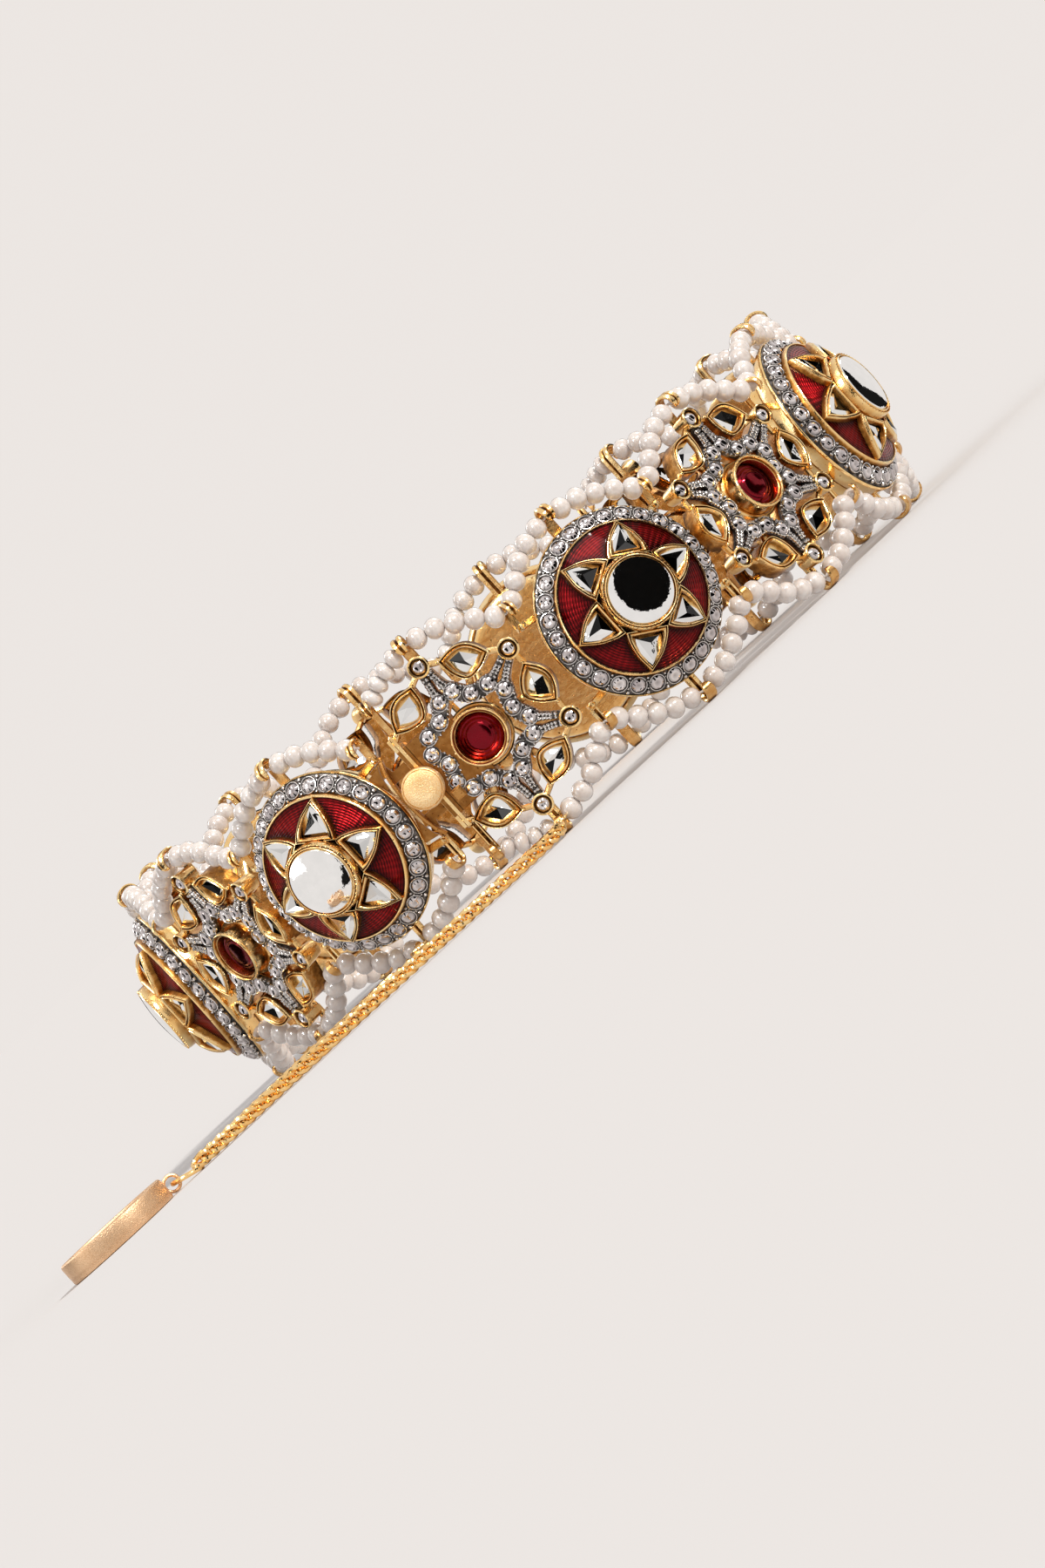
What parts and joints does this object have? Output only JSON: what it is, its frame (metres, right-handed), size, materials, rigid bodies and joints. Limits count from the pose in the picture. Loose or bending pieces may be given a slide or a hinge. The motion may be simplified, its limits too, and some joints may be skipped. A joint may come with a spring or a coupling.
{
  "type": "openable bangle",
  "caption": "Round openable bangle of jewelled medallions and openwork florals edged with pearls, with a push-button box clasp and a safety chain with a disc charm.",
  "frame": {"origin": "middle of the footprint of the ring, chain and charm, on the surface that the bangle lies on", "axes": "+Z is the ring's axis, up from the surface; -Y is the clasp's side, where the safety chain lies"},
  "size_m": [0.0706, 0.0958, 0.0186],
  "materials": {
    "setting_gold": "polished yellow gold plating with dark recesses",
    "pave_metal": "dark rhodium plating, grained between the stones",
    "pave_stone": "small round faceted clear stones",
    "clear_stone": "foil-backed clear stone with a flat table",
    "ruby": "foil-backed deep red faceted stone",
    "enamel": "glossy translucent wine-red enamel over engraved lines",
    "pearl": "cream seed pearl with a soft lustre",
    "button_gold": "satin gold plating",
    "chain_gold": "polished gold plating",
    "charm_gold": "matt pale rose gold"
  },
  "bodies": {
    "bangle": {"medallion_setting_01": "setting_gold", "medallion_setting_02": "setting_gold", "medallion_setting_03": "setting_gold", "medallion_setting_04": "setting_gold", "medallion_setting_05": "setting_gold", "medallion_setting_06": "setting_gold", "medallion_setting_07": "setting_gold", "medallion_stone_01": "clear_stone", "medallion_stone_02": "clear_stone", "medallion_stone_03": "clear_stone", "medallion_stone_04": "clear_stone", "medallion_stone_05": "clear_stone", "medallion_stone_06": "clear_stone", "medallion_stone_07": "clear_stone", "floral_setting_01": "setting_gold", "floral_setting_02": "setting_gold", "floral_setting_03": "setting_gold", "floral_setting_04": "setting_gold", "floral_setting_05": "setting_gold", "floral_setting_06": "setting_gold", "floral_setting_07": "setting_gold", "ruby_01": "ruby", "ruby_02": "ruby", "ruby_03": "ruby", "ruby_04": "ruby", "ruby_05": "ruby", "ruby_06": "ruby", "ruby_07": "ruby", "pearl_strand_top_01": "pearl", "pearl_strand_top_02": "pearl", "pearl_strand_top_03": "pearl", "pearl_strand_top_04": "pearl", "pearl_strand_top_05": "pearl", "pearl_strand_top_06": "pearl", "pearl_strand_top_07": "pearl", "pearl_strand_top_08": "pearl", "pearl_strand_bottom_01": "pearl", "pearl_strand_bottom_02": "pearl", "pearl_strand_bottom_03": "pearl", "pearl_strand_bottom_04": "pearl", "pearl_strand_bottom_05": "pearl", "pearl_strand_bottom_06": "pearl", "pearl_strand_bottom_07": "pearl", "pearl_strand_bottom_08": "pearl", "hinge_barrel": "setting_gold", "safety_chain_short": "chain_gold", "safety_chain_long": "chain_gold", "charm_ring": "chain_gold", "charm_disc": "charm_gold"},
    "button": {"clasp_button": "button_gold"}
  },
  "joints": [
    {"name": "clasp_button_press", "type": "slide", "parent": "bangle", "child": "button", "axis": [-0.2225, 0.9749, 0], "range_m": [0, 0.0005], "stiffness_N_per_m": 800, "springref_m": -0.0005}
  ]
}
